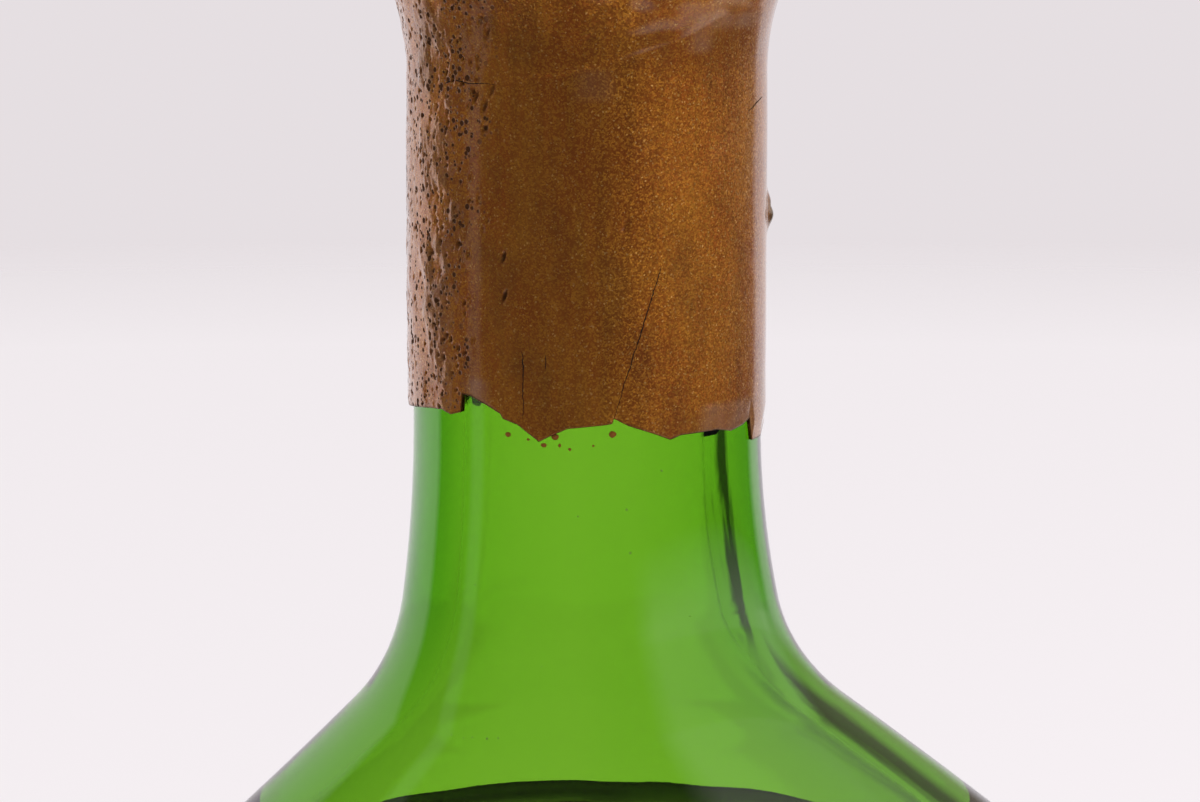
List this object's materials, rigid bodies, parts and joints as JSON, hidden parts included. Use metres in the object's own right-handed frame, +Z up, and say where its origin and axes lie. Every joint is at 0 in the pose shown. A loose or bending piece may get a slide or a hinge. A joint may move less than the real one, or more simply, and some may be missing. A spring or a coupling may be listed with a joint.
{
  "type": "armagnac bottle",
  "caption": "Flat-sided flask-shaped bottle of clear green glass with round sloping shoulders, filled with dark spirit and sealed with a dipped cap of bronze wax.",
  "frame": {"origin": "middle of the base ring, on the surface that the bottle stands on", "axes": "+Z up the bottle, X across its width, -Y the broad face shown; the neck stands 3.7 mm to -X of the middle"},
  "size_m": [0.135, 0.0586, 0.26],
  "materials": {
    "green_glass": "clear bright yellow-green bottle glass, glossy, slightly wavy with a few seeds and scratches",
    "armagnac": "clear dark amber spirit",
    "seal_wax": "dipped sealing wax with gold-bronze mica, half gloss, pitted, cracked and chipped"
  },
  "bodies": {
    "root": {"glass_bottle": "green_glass", "armagnac": "armagnac", "wax_seal": "seal_wax"}
  },
  "joints": []
}
